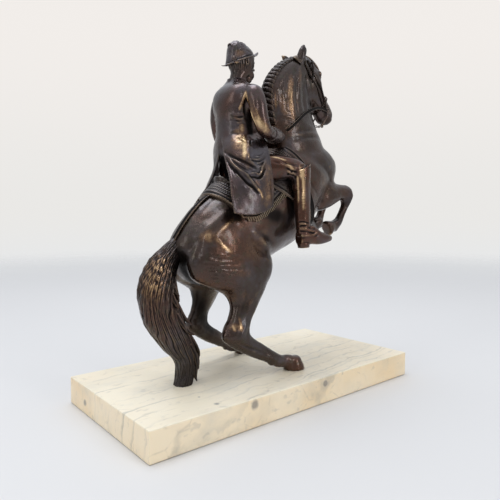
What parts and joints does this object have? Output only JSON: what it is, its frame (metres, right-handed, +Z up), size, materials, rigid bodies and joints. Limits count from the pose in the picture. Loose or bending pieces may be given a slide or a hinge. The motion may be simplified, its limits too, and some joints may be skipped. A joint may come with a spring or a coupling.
{
  "type": "equestrian statuette",
  "caption": "Cast bronze statuette of an officer in a cocked hat on a rearing horse, standing on its hind hooves and tail on a slab of veined marble.",
  "frame": {"origin": "middle of the underside of the marble slab", "axes": "+X the way the horse faces, along the slab's length; +Y to the horse's left; +Z up"},
  "size_m": [0.38, 0.185, 0.427],
  "materials": {
    "marble": "polished cream marble with grey veins and honey-coloured staining",
    "bronze": "cast bronze, dark brown patina rubbed to gold on the ridges"
  },
  "bodies": {
    "root": {"marble_plinth": "marble", "bronze_horse_and_rider": "bronze"}
  },
  "joints": []
}
